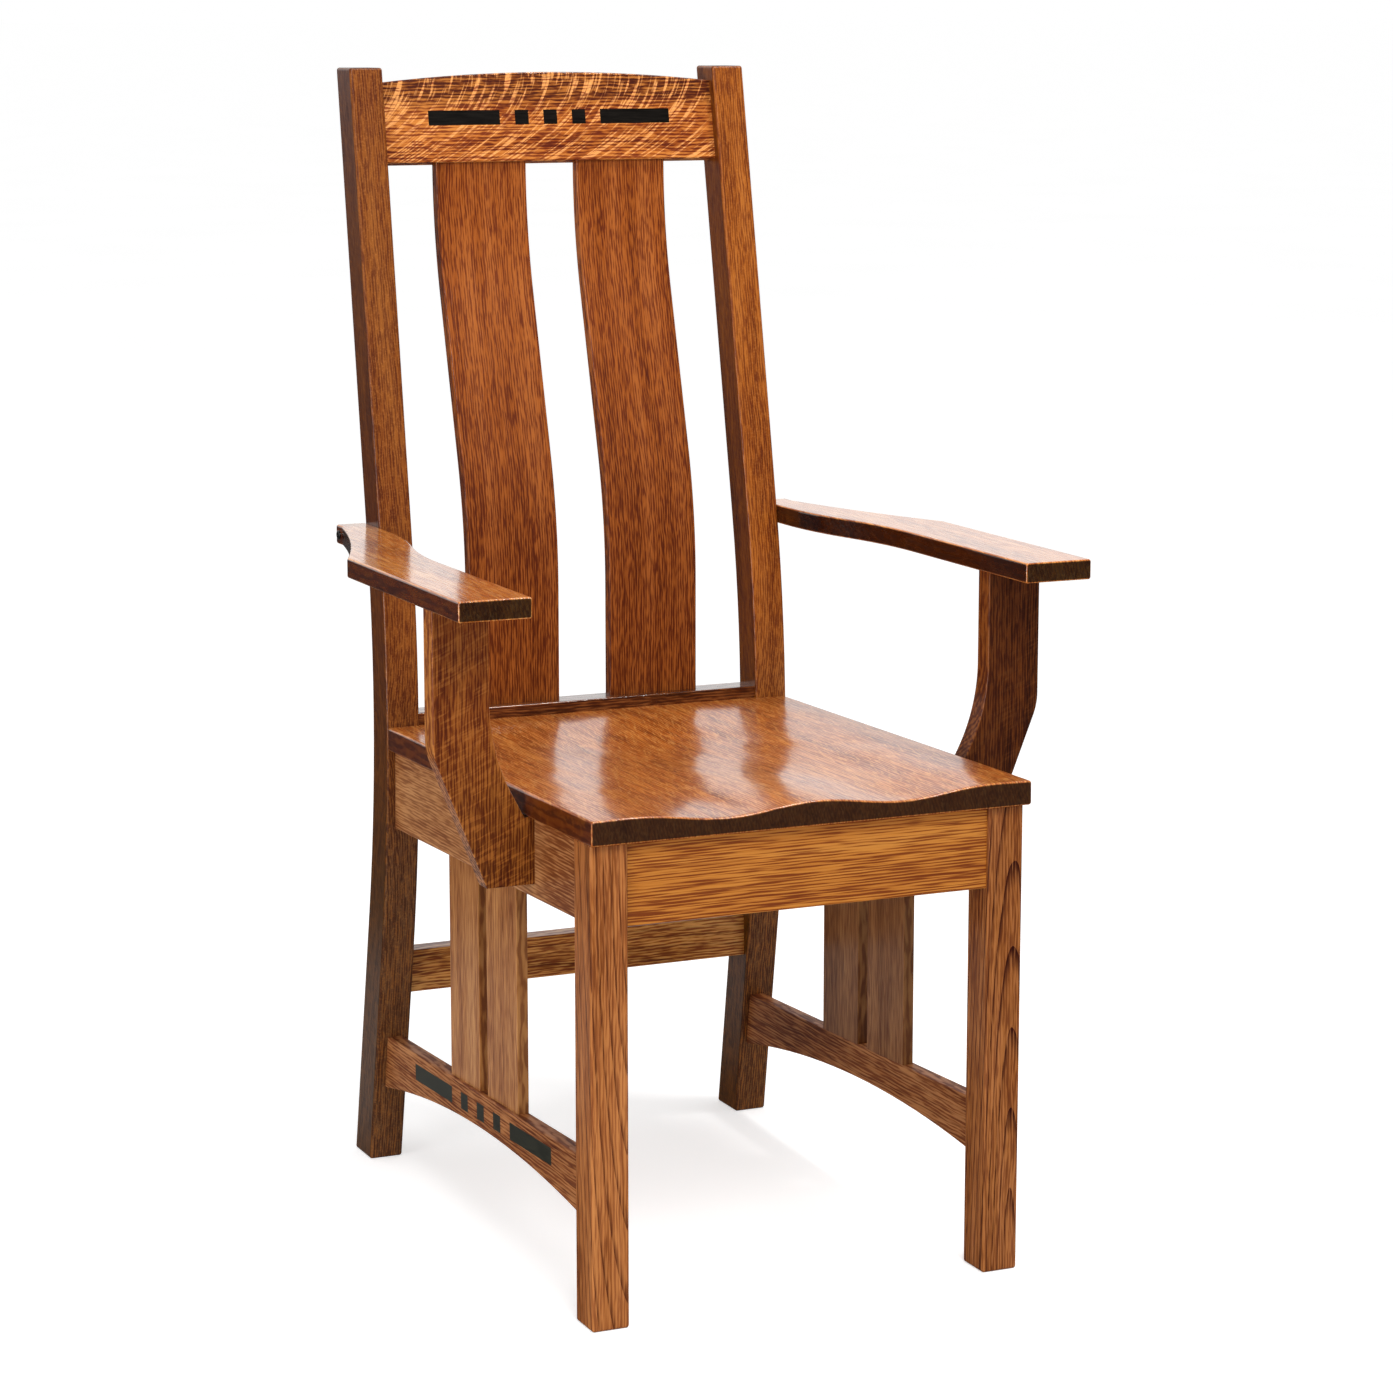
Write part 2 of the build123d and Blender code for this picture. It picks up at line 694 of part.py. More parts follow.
left_seat_screws = [mirrored(screw) for screw in seat_screws]
left_seat_bores = [mirrored(bore) for bore in seat_screw_bores]

# Rear posts and front legs
post_mortises = [crest_mortise, rail_mortise, rear_apron_mortise, rear_stretcher_mortise,
                 apron_back_mortise, stretcher_back_mortise, bolt_bore]
rear_post = cut(eased(right_post, leg_ease), post_mortises)
leg_mortises = [apron_front_mortise, stretcher_front_mortise, front_apron_mortise]
front_leg = cut(eased(right_leg, leg_ease), leg_mortises)

# Back: crest rail, slats, lower rail
slat = eased(back_slat(0), board_ease)
slat_pockets = [back_slat(joint_gap), mirrored(back_slat(joint_gap))]
crest_inlay_plane = crest_plane() * Pos(0, -crest_inlay_drop, 0)
crest_squares, crest_bars, crest_pockets = inlay_set(
    crest_inlay_plane, crest_inlay_size, crest_inlay_size, crest_inlay_gap, crest_inlay_bar)
crest = cut(join(crest_blank(posts), [crest_bar]), slat_pockets + crest_pockets)
rail_outline = [(rail_front, seat_underside(rail_front)), (rail_back, seat_underside(rail_back)),
                (rail_back, rail_top), (rail_front, rail_top)]
lower_rail_board = cross_board(posts, rail_outline)
lower_rail = cut(join(lower_rail_board, [rail_bar]), slat_pockets)

# Seat frame
rear_apron_outline = [(rail_front, seat_underside(rail_front)), (rear_apron_back, rear_apron_top),
                      (rear_apron_back, rear_apron_low), (rail_front, rear_apron_low)]
rear_apron = join(cross_board(posts, rear_apron_outline), [rear_apron_bar])
front_apron = join(front_apron_board([right_leg, mirrored(right_leg)]), [front_apron_bar])
side_pitch = (side_slat_width + side_slat_gap) / 2
side_slat_places = {"front": side_middle - side_pitch, "rear": side_middle + side_pitch}
side_pockets = [side_slat(place, joint_gap) for place in side_slat_places.values()]
side_apron = cut(join(side_apron_board(right_leg, right_post), [apron_front_tenon, apron_back_tenon]),
                 side_pockets + arm_post_screw_bores)

# Stretchers
stretcher_blank = side_stretcher_blank(right_leg, right_post)
side_squares, side_bars, stretcher_pockets = inlay_set(
    side_inlay_plane(), side_inlay_size, side_inlay_height, side_inlay_gap, side_inlay_bar)
side_stretcher = cut(join(stretcher_blank, [stretcher_front_tenon, stretcher_back_tenon]),
                     side_pockets + stretcher_pockets)
rear_stretcher_outline = [(y, z) for y, z in (
    (rear_stretcher_y[0], rear_stretcher_z[0]), (rear_stretcher_y[1], rear_stretcher_z[0]),
    (rear_stretcher_y[1], rear_stretcher_z[1]), (rear_stretcher_y[0], rear_stretcher_z[1]))]
rear_stretcher = join(cross_board(posts, rear_stretcher_outline), [rear_stretcher_bar])

# Seat
rail_notch = block((-seat_half, seat_half), (rail_front, rail_back), (0, post_height))
seat = cut(seat_blank(), posts + [rail_notch] + seat_screw_bores + left_seat_bores)

# Arms and arm posts
arm = cut(arm_board(), [right_post, bolt_bore] + dowel_bores)
arm_post = cut(arm_post_board(), dowel_bores + arm_post_screw_bores)

nodes = {
    "rear_post_right": [rear_post],
    "rear_post_left": [mirrored(rear_post)],
    "front_leg_right": [front_leg],
    "front_leg_left": [mirrored(front_leg)],
    "crest_rail": [crest],
    "crest_inlay_squares": crest_squares,
    "crest_inlay_bars": crest_bars,
    "back_slat_right": [slat],
    "back_slat_left": [mirrored(slat)],
    "lower_back_rail": [lower_rail],
    "seat": [seat],
    "front_apron": [front_apron],
    "rear_apron": [rear_apron],
    "side_apron_right": [side_apron],
    "side_apron_left": [mirrored(side_apron)],
    "side_stretcher_right": [side_stretcher],
    "side_stretcher_left": [mirrored(side_stretcher)],
    "side_inlay_squares_right": side_squares,
    "side_inlay_squares_left": [mirrored(piece) for piece in side_squares],
    "side_inlay_bars_right": side_bars,
    "side_inlay_bars_left": [mirrored(piece) for piece in side_bars],
    "rear_stretcher": [rear_stretcher],
    "arm_right": [arm],
    "arm_left": [mirrored(arm)],
    "arm_post_right": [arm_post],
    "arm_post_left": [mirrored(arm_post)],
    "arm_dowels": right_dowels + [mirrored(dowel) for dowel in right_dowels],
    "arm_post_screws": right_arm_post_screws + [mirrored(screw) for screw in right_arm_post_screws],
    "arm_bolts": [right_bolt, mirrored(right_bolt)],
    "arm_bolt_caps": [right_cap, mirrored(right_cap)],
    "seat_screws": seat_screws + left_seat_screws,
}
for name, place in side_slat_places.items():
    panel = eased(side_slat(place, 0), board_ease)
    nodes["side_slat_" + name + "_right"] = [panel]
    nodes["side_slat_" + name + "_left"] = [mirrored(panel)]
for name, piece, bore in zip(("front", "rear"), (front_block, rear_block), seat_screw_bores):
    drilled = piece - bore
    nodes["corner_block_" + name + "_right"] = [drilled]
    nodes["corner_block_" + name + "_left"] = [mirrored(drilled)]

# The origin goes to the middle of the overall depth, from the seat's front edge to the posts' tops
front_end = -seat_overhang * cos(radians(seat_fall))
back_end = post_top_front + post_depth
to_origin = Pos(0, -(front_end + back_end) / 2, 0)
for name, solids in nodes.items():
    placed = [to_origin * solid for solid in solids]
    shape = placed[0] if len(placed) == 1 else Compound(children=placed)
    export_step(shape, "parts/" + name + ".step")
    print(name, len(placed))
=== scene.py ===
from math import pi, radians

import bmesh
import bpy
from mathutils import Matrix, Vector


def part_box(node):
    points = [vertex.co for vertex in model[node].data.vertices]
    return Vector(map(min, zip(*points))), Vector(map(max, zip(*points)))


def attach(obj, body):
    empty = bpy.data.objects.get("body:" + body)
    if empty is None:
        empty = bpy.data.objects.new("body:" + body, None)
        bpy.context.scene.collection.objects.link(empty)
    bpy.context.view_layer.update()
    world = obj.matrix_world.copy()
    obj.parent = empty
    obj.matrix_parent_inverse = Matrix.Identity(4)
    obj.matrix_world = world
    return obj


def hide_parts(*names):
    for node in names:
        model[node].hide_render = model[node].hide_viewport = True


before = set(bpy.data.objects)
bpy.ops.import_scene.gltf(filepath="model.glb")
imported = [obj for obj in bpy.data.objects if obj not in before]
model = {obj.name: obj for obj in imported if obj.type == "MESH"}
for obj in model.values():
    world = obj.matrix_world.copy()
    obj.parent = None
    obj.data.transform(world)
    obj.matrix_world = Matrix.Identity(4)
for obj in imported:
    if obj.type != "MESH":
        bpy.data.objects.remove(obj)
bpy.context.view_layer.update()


# Seat. A thick plank of red-brown stained oak, its grain running front to back, hollowed on top for
# hips and thighs, with eased edges. Rubbed smooth under satin varnish, and dark on its end grain.
def add(tree, kind, settings=None, **inputs):
    """Adds a node with its settings and links.

    An input is named, or numbered as i0 and so on. It is a value, a socket, or a node, whose first
    output is meant. The setting called stops gives a colour ramp its places and colours.
    """
    node = tree.nodes.new(kind)
    for key, value in (settings or {}).items():
        if key == "stops":
            band = node.color_ramp.elements
            band[0].position, band[0].color = value[0]
            band[-1].position, band[-1].color = value[-1]
            for position, colour in value[1:-1]:
                band.new(position).color = colour
        else:
            setattr(node, key, value)
    for key, value in inputs.items():
        socket = node.inputs[int(key[1:]) if key[1:].isdigit() else key.replace("_", " ")]
        value = value.outputs[0] if isinstance(value, bpy.types.Node) else value
        if isinstance(value, bpy.types.NodeSocket):
            tree.links.new(value, socket)
        else:
            socket.default_value = value
    return node


def tone(code):
    """Linear colour of an sRGB hex code."""
    parts = [int(code[i:i + 2], 16) / 255 for i in (0, 2, 4)]
    return (*[c / 12.92 if c <= 0.04045 else ((c + 0.055) / 1.055) ** 2.4 for c in parts], 1)


def blank_finish(name):
    """A new material with an empty tree, and the coordinates that its pattern reads."""
    material = bpy.data.materials.new(name)
    material.use_nodes = True
    tree = material.node_tree
    tree.nodes.clear()
    return material, tree, add(tree, "ShaderNodeTexCoord").outputs


def stained_oak(node, grain, thin, tones, seed, pore=(3.2, 18, 0.75), sway=1.2, streak=(2.6, 70, 0.25),
                rings=None, flecks=None, side=None, fade=None, bends=(), uneven=0, end="2A1608",
                sheen=0.34, coat=0.4):
    """Oak under a red-brown stain and satin varnish, as a solid pattern in millimetres.

    The stain collects in the open pores, which gives the eye short dark dashes along the grain, and
    the varnish over it adds a soft shine.

    grain is the axis that the grain runs along, and thin the axis through the board, along which
    the figure hardly changes. tones are the deep, middle and light browns.
    pore gives the spacing, length and strength of the dashes, which are drawn about four times as
    coarse as real pores so that they show, and streak the width, length and strength of the longer
    lines that they run together in. sway says how far the grain wanders.
    rings gives the growth rings' spacing, waver and strength, how far their heart lies across and
    through the board, and its tilt in degrees.
    flecks gives the ray flecks' width, length, turn from the grain in degrees, strength and colour.
    On a level board the turn may be two shares of the height, by which the flecks lean over at its
    lower and upper edge.
    side is an axis and a tint of painted shade for the faces across it. fade gives an axis, the places
    on it in metres between which the colour turns darker, by what share, and its colour there; on the
    rear posts and back slats this darkening is painted shade.
    bends gives the heights in metres between which the board moves back, and by how much, so that
    the grain follows it. uneven is how far hand sanding left the face from flat.
    end is the end grain's colour, sheen the roughness of the finish and coat the varnish's weight.
    """
    material, tree, place = blank_finish("stained oak " + node.replace("_", " "))
    deep, middle, light = [tone(code) for code in tones]
    low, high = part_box(node)
    noise = {"noise_dimensions": "4D"}
    paint = {"data_type": "RGBA"}
    stain = {"data_type": "RGBA", "blend_type": "MULTIPLY"}
    times = {"operation": "MULTIPLY"}

    # Millimetres from the board's middle, turned so that the grain runs along the pattern's Z. Through
    # the board the pattern changes about a third as fast as across it.
    spot = add(tree, "ShaderNodeSeparateXYZ", i0=place["Object"])
    flat = add(tree, "ShaderNodeVectorMath", {"operation": "SUBTRACT"}, i0=place["Object"],
               i1=[(a + b) / 2 for a, b in zip(low, high)])
    for start, stop, back in bends:
        moved = add(tree, "ShaderNodeMapRange", i0=spot.outputs[2], i1=start, i2=stop, i3=0.0, i4=back)
        flat = add(tree, "ShaderNodeVectorMath", {"operation": "SUBTRACT"}, i0=flat,
                   i1=add(tree, "ShaderNodeCombineXYZ", i1=moved))
    turn = {"x": (0, pi / 2, 0), "y": (-pi / 2, 0, 0), "z": (0, 0, 0)}[grain]
    along = add(tree, "ShaderNodeMapping", i0=flat, Rotation=turn, Scale=(1000, 1000, 1000))
    through = 0.35
    still_x = through if (grain, thin) in (("y", "x"), ("z", "x"), ("x", "z")) else 1
    still_y = through if (grain, thin) in (("x", "y"), ("z", "y"), ("y", "z")) else 1

    def spread(wide, long):
        """Scale of a noise whose spots are so many millimetres wide and long."""
        return still_x / wide, still_y / wide, 1 / long

    # The grain wanders, in slow swings to both sides.
    drift = add(tree, "ShaderNodeVectorMath", times, i0=along, i1=spread(wide=40, long=90))
    swing = add(tree, "ShaderNodeTexNoise", noise, Vector=drift, W=seed, Scale=1.0, Detail=3.0,
                Roughness=0.55)
    reach = 5 * sway  # millimetres
    push = add(tree, "ShaderNodeVectorMath", {"operation": "MULTIPLY_ADD"}, i0=swing.outputs["Color"],
               i1=(reach, reach, 0), i2=(-reach / 2, -reach / 2, 0))
    wavy = add(tree, "ShaderNodeVectorMath", {"operation": "ADD"}, i0=along, i1=push)

    # Broad bands of the three browns.
    broad = add(tree, "ShaderNodeVectorMath", times, i0=wavy, i1=spread(wide=20, long=260))
    bands = add(tree, "ShaderNodeTexNoise", noise, Vector=broad, W=seed + 3, Scale=1.0, Detail=3.0,
                Roughness=0.6)
    colour = add(tree, "ShaderNodeValToRGB", {"stops": [(0.34, deep), (0.5, middle), (0.66, light)]},
                 i0=bands)
    # Darker towards one end of an axis; on the rear posts and back slats this is painted shade.
    if fade:
        axis, start, stop, share, dusk = fade
        darker = add(tree, "ShaderNodeMapRange", i0=spot.outputs["xyz".index(axis)], i1=start, i2=stop,
                     i3=0.0, i4=share)
        colour = add(tree, "ShaderNodeMix", paint, i0=darker, i6=colour, i7=tone(dusk)).outputs[2]

    # Growth rings round a heart beside the board, as dark late wood that ends each year sharply. A
    # wave texture at scale 1 has a ring for each 0.314 of its units.
    if rings:
        spacing, waver, strength, aside, under, tilt = rings
        one_year, year_along = 0.314, 0.004
        heart = add(tree, "ShaderNodeMapping", i0=along, Location=(aside, under, 0),
                    Rotation=(radians(tilt), 0, 0))
        disc = add(tree, "ShaderNodeVectorMath", times, i0=heart,
                   i1=(one_year / spacing, one_year / spacing, year_along / spacing))
        years = add(tree, "ShaderNodeTexWave",
                    {"wave_type": "RINGS", "rings_direction": "Z", "wave_profile": "SAW"}, Vector=disc,
                    Scale=1.0, Distortion=float(waver), Detail=2.0, Detail_Scale=0.6,
                    Detail_Roughness=0.5, Phase_Offset=float(seed))
        late = add(tree, "ShaderNodeMapRange", i0=years.outputs["Fac"], i1=0.7, i2=0.97, i3=0.0,
                   i4=float(strength))
        colour = add(tree, "ShaderNodeMix", stain, i0=late, i6=colour, i7=tone("743E1E")).outputs[2]

    # Long soft streaks, and over them the ray flecks.
    dark_from, dark_full = 0.46, 0.6
    fine = add(tree, "ShaderNodeVectorMath", times, i0=wavy, i1=spread(streak[0], streak[1]))
    lines = add(tree, "ShaderNodeTexNoise", noise, Vector=fine, W=seed + 7, Scale=1.0, Detail=2.0,
                Roughness=0.6)
    shade = add(tree, "ShaderNodeMapRange", i0=lines, i1=dark_from, i2=dark_full, i3=0.0,
                i4=float(streak[2]))
    colour = add(tree, "ShaderNodeMix", stain, i0=shade, i6=colour, i7=tone("A06A40")).outputs[2]
    if flecks:
        width, length, slant, strength, golden = flecks
        if isinstance(slant, tuple):
            height = high[2] - low[2]
            rise = add(tree, "ShaderNodeMapRange", {"clamp": False}, i0=spot.outputs[2], i1=low[2],
                       i2=high[2], i3=0.0, i4=height * 1000)
            lean = add(tree, "ShaderNodeMapRange", i0=spot.outputs[2], i1=low[2], i2=high[2],
                       i3=slant[0], i4=(slant[0] + slant[1]) / 2)
            shift = add(tree, "ShaderNodeMath", times, i0=rise, i1=lean)
            level = add(tree, "ShaderNodeSeparateXYZ", i0=wavy)
            leant = add(tree, "ShaderNodeCombineXYZ", i1=level.outputs[1], i2=level,
                        i0=add(tree, "ShaderNodeMath", {"operation": "ADD"}, i0=level.outputs[2],
                               i1=shift))
        else:
            leant = add(tree, "ShaderNodeMapping", i0=wavy,
                        Rotation=(0, radians(slant), 0) if still_y < 1 else (radians(slant), 0, 0))
        sheets = add(tree, "ShaderNodeVectorMath", times, i0=leant, i1=spread(width, length))
        rays = add(tree, "ShaderNodeTexNoise", noise, Vector=sheets, W=seed + 19, Scale=1.0, Detail=1.0,
                   Roughness=0.5, Distortion=0.3)
        shown = add(tree, "ShaderNodeMapRange", i0=rays, i1=0.52, i2=0.62, i3=0.0, i4=float(strength))
        colour = add(tree, "ShaderNodeMix", paint, i0=shown, i6=colour, i7=tone(golden)).outputs[2]

    # Pores: even stripes that bend with the streaks, broken into dashes, with light wood between.
    spacing, length, strength = pore
    stripe_bend, stripe_share, dash_spacing = 10.0, 0.115, spacing / 1.8
    stripe = add(tree, "ShaderNodeVectorMath", {"operation": "DOT_PRODUCT"}, i0=wavy,
                 i1=(still_x * 2 * pi / spacing, still_y * 2 * pi / spacing, 0))
    bent = add(tree, "ShaderNodeMath", {"operation": "MULTIPLY_ADD"}, i0=lines, i1=stripe_bend,
               i2=stripe.outputs["Value"])
    even = add(tree, "ShaderNodeMath", {"operation": "SINE"}, i0=bent)
    dashes = add(tree, "ShaderNodeVectorMath", times, i0=wavy, i1=spread(dash_spacing, length))
    broken = add(tree, "ShaderNodeTexNoise", noise, Vector=dashes, W=seed + 11, Scale=1.0, Detail=1.5,
                 Roughness=0.5)
    vessels = add(tree, "ShaderNodeMath", {"operation": "MULTIPLY_ADD"}, i0=even, i1=stripe_share,
                  i2=broken)
    pits = add(tree, "ShaderNodeMapRange", i0=vessels, i1=dark_from, i2=dark_full, i3=0.0,
               i4=float(strength))
    colour = add(tree, "ShaderNodeMix", stain, i0=pits, i6=colour, i7=tone("8C4820")).outputs[2]
    glow = add(tree, "ShaderNodeMapRange", i0=vessels, i1=0.32, i2=dark_from, i3=0.5, i4=0.0)
    colour = add(tree, "ShaderNodeMix", paint, i0=glow, i6=colour, i7=light).outputs[2]

    # Painted shade on the side faces, and end grain, which drinks the most stain.
    faces = [(side[0], stain, tone(side[1]), 1.0)] if side else []
    for axis, blend, tint, share in faces + [(grain, paint, tone(end), 0.94)]:
        way = {"x": (1, 0, 0), "y": (0, 1, 0), "z": (0, 0, 1)}[axis]
        dot = add(tree, "ShaderNodeVectorMath", {"operation": "DOT_PRODUCT"}, i0=place["Normal"], i1=way)
        size = add(tree, "ShaderNodeMath", {"operation": "ABSOLUTE"}, i0=dot.outputs["Value"])
        turned = add(tree, "ShaderNodeMapRange", i0=size, i1=0.72, i2=0.94, i3=0.0, i4=share)
        colour = add(tree, "ShaderNodeMix", blend, i0=turned, i6=colour, i7=tint).outputs[2]

    # Varnish: duller in the pores, which it leaves as fine grooves, over hand-sanded unevenness of
    # about 45 mm across the grain and 70 mm along it.
    pore_dullness, pore_depth, waves_per_metre = 0.12, 0.0002, (22, 14, 22)
    satin = add(tree, "ShaderNodeMapRange", i0=vessels, i1=0.4, i2=0.6, i3=sheen,
                i4=sheen + pore_dullness)
    relief = add(tree, "ShaderNodeBump", {"invert": True}, Strength=0.25, Distance=pore_depth,
                 Height=pits)
    if uneven:
        hand = add(tree, "ShaderNodeVectorMath", times, i0=flat, i1=waves_per_metre)
        waves = add(tree, "ShaderNodeTexNoise", noise, Vector=hand, W=seed, Scale=1.0, Detail=0.0)
        relief = add(tree, "ShaderNodeBump", Strength=1.0, Distance=uneven * 0.001, Height=waves,
                     Normal=relief)
    wood = add(tree, "ShaderNodeBsdfPrincipled", Base_Color=colour, Roughness=satin, IOR=1.45,
               Specular_IOR_Level=0.14, Coat_Weight=float(coat), Coat_Roughness=sheen * 0.5,
               Coat_IOR=1.5, Normal=relief, Coat_Normal=relief)
    add(tree, "ShaderNodeOutputMaterial", i0=wood)
    return material


weld = 0.00001  # metres, within which a mesh's doubled corners become one
sharp_bend = radians(38)  # an edge that bends more stays crisp


def stand_for(node, shape, name, look, weight):
    """Turns a shape into a piece with smooth faces and crisp arrises, which stands for a node.

    weight, of 100, is how far its large flat faces keep their own shading next to the small ones.
    """
    for part in shape.faces:
        part.smooth = True
        part.material_index = 0
    for edge in shape.edges:
        edge.smooth = edge.calc_face_angle(pi) < sharp_bend
    mesh = bpy.data.meshes.new(name)
    shape.to_mesh(mesh)
    shape.free()
    if mesh.attributes.get("custom_normal"):
        mesh.attributes.remove(mesh.attributes["custom_normal"])
    mesh.materials.append(look)
    piece = bpy.data.objects.new(name, mesh)
    bpy.context.scene.collection.objects.link(piece)
    even = piece.modifiers.new("even shading", "WEIGHTED_NORMAL")
    even.keep_sharp = True
    even.weight = weight
    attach(piece, "root")
    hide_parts(node)


def finished(node, look):
    """A welded copy of a board's own solid stands for the board."""
    shape = bmesh.new()
    shape.from_mesh(model[node].data)
    bmesh.ops.remove_doubles(shape, verts=shape.verts, dist=weld)
    bmesh.ops.dissolve_degenerate(shape, edges=shape.edges, dist=2 * weld)
    stand_for(node, shape, node + "_board", look, 80)


# The seat's side edges are darkened with painted shade.
finished("seat", stained_oak("seat", "y", "z", ("944812", "BC6826", "D08036"), 1.0, pore=(3.2, 30, 0.5),
                             rings=(11, 2.5, 0.3, 30, 60, 4), flecks=(1.8, 16, 12, 0.5, "ECA85C"),
                             side=("x", "7E6238"), uneven=1.8, end="1E0E04", coat=0.85))

# Front legs. Square oak legs with softly rounded arrises, plain-sawn: arched figure on the front,
# straight grain on the sides. Mortised for the aprons and side stretchers.
for side, browns, strength, figure, seed in (
        ("left", ("8C4E1E", "A96733", "B97740"), 0.45, (7, 1.2, 0.8, -26, 44, 6), 2.3),
        ("right", ("804416", "985C2A", "A86A3A"), 0.55, (5.5, 1.6, 1.0, -10, 38, -4), 3.1)):
    node = "front_leg_" + side
    finished(node, stained_oak(node, "z", None, browns, seed, pore=(3.0, 24, strength), rings=figure))

# Rear posts. Two long oak posts in one piece each, kicked back below and raked back above the seat,
# leaning in towards the top. Quarter-sawn front faces, with painted shade darkening the outer and inner
# faces and the posts below the seat.
for side, browns, seed in (("left", ("6C3408", "7C4012", "8E521E"), 4.7),
                           ("right", ("7A3A0A", "965014", "AA6426"), 5.9)):
    node = "rear_post_" + side
    finished(node, stained_oak(node, "z", None, browns, seed, pore=(2.6, 15, 0.62),
                               flecks=(1.7, 10, 70, 0.2, "C07C3C"), side=("x", "C4B452"),
                               fade=("z", 0.55, 0.3, 0.75, "624830"),
                               bends=((0.45, 1.1, 0.103), (0.0, 0.43, -0.07))))

# Aprons. Oak boards under the seat between the legs and posts; the front one has straight golden
# grain with long dark pores, the side ones are plainer.
finished("front_apron", stained_oak("front_apron", "x", "y", ("AA6422", "B67028", "C07E34"), 6.2,
                                    pore=(2.8, 44, 0.8), sway=0.5, streak=(2.6, 120, 0.1)))
finished("rear_apron", stained_oak("rear_apron", "x", "y", ("6E4018", "8C5A2C", "A06C38"), 6.9,
                                   pore=(3.2, 20, 0.75)))
for side, seed in (("left", 7.3), ("right", 8.1)):
    node = "side_apron_" + side
    finished(node, stained_oak(node, "y", "x", ("965C32", "B27A4A", "C48C5A"), seed,
                               pore=(3.0, 22, 0.5), fade=("y", -0.17, -0.22, 0.95, "844A24")))

# Stretchers. Boards arched underneath between front legs and rear posts, and a straight square rail
# between the rear posts, all of plain oak with straight grain.
for side, seed in (("left", 9.4), ("right", 10.2)):
    node = "side_stretcher_" + side
    finished(node, stained_oak(node, "y", "x", ("7E4620", "A06436", "B27848"), seed,
                               pore=(3.2, 26, 0.7), rings=(6, 2, 0.4, 40, 30, 1), sheen=0.5, coat=0.1))
finished("rear_stretcher", stained_oak("rear_stretcher", "x", "y", ("A46426", "C8843E", "DCA058"), 11.1,
                                       rings=(6, 3, 0.5, 30, 50, 2)))


# Inlays. Three squares between two bars of near-black wood, let in flush with the crest rail and with
# the outer faces of the side stretchers, and varnished over.
def inlay_wood(name, dark, pale):
    """Ebony-black inlay wood: dense, so that its fine straight grain shows only as a faint streak."""
    material, tree, place = blank_finish(name)
    fine = add(tree, "ShaderNodeMapping", i0=place["Object"], Scale=(60, 60, 900))
    streaks = add(tree, "ShaderNodeTexNoise", i0=fine, Scale=1.0, Detail=3.0)
    colour = add(tree, "ShaderNodeValToRGB", {"stops": [(0.35, tone(dark)), (0.7, tone(pale))]},
                 i0=streaks)
    satin = add(tree, "ShaderNodeMapRange", i0=streaks, i1=0.3, i2=0.7, i3=0.34, i4=0.46)
    wood = add(tree, "ShaderNodeBsdfPrincipled", Base_Color=colour, Roughness=satin, IOR=1.45,
               Specular_IOR_Level=0.15, Coat_Weight=0.1, Coat_Roughness=0.12)
    add(tree, "ShaderNodeOutputMaterial", i0=wood)
    return material


def dressed(look, *nodes):
    """Puts a finish on solids that keep their own shape."""
    for node in nodes:
        model[node].data.materials.clear()
        model[node].data.materials.append(look)


dressed(inlay_wood("near black crest inlay", "080503", "140F0A"), "crest_inlay_squares", "crest_inlay_bars")
dressed(inlay_wood("near black stretcher inlay", "1E1E18", "34342A"), "side_inlay_squares_left",
        "side_inlay_squares_right", "side_inlay_bars_left", "side_inlay_bars_right")


# Side slats. Two flat oak boards on each side, housed in the side apron above and in the side
# stretcher below, with a narrow gap between them.
def swept_board():
    """Geometry tree of a board with rounded arrises, swept along a bent line of four points."""
    tree = bpy.data.node_groups.new("swept board", "GeometryNodeTree")
    corners = ("Foot", "Low Bend", "High Bend", "Head")
    for name in corners:
        tree.interface.new_socket(name, in_out="INPUT", socket_type="NodeSocketVector")
    for name in ("Width", "Thickness", "Ease", "Bend Radius"):
        tree.interface.new_socket(name, in_out="INPUT", socket_type="NodeSocketFloat")
    tree.interface.new_socket("Look", in_out="INPUT", socket_type="NodeSocketMaterial")
    tree.interface.new_socket("Board", in_out="OUTPUT", socket_type="NodeSocketGeometry")
    given = add(tree, "NodeGroupInput").outputs
    line = add(tree, "GeometryNodeCurvePrimitiveLine", {"mode": "POINTS"}, Start=given["Foot"],
               End=given["Head"])
    split = add(tree, "GeometryNodeResampleCurve", Curve=line, Count=len(corners))
    corner = add(tree, "GeometryNodeIndexSwitch", {"data_type": "VECTOR"})
    for name in corners[2:]:
        corner.index_switch_items.new()
    tree.links.new(add(tree, "GeometryNodeInputIndex").outputs[0], corner.inputs["Index"])
    for place, name in enumerate(corners):
        tree.links.new(given[name], corner.inputs[place + 1])
    bent = add(tree, "GeometryNodeSetPosition", Geometry=split, Position=corner)
    bowed = add(tree, "GeometryNodeFilletCurve", {"mode": "POLY"}, Curve=bent, Count=24,
                Radius=given["Bend Radius"], Limit_Radius=True)
    level = add(tree, "GeometryNodeSetCurveNormal", {"mode": "FREE"}, Curve=bowed, Normal=(1, 0, 0))
    outline = add(tree, "GeometryNodeCurvePrimitiveQuadrilateral", Width=given["Width"],
                  Height=given["Thickness"])
    rounded = add(tree, "GeometryNodeFilletCurve", {"mode": "POLY"}, Curve=outline, Count=5,
                  Radius=given["Ease"], Limit_Radius=True)
    board = add(tree, "GeometryNodeCurveToMesh", Curve=level, Profile_Curve=rounded, Fill_Caps=True)
    real = add(tree, "GeometryNodeRealizeInstances", Geometry=board)
    clad = add(tree, "GeometryNodeSetMaterial", Geometry=real, Material=given["Look"])
    add(tree, "NodeGroupOutput", Board=clad)
    return tree


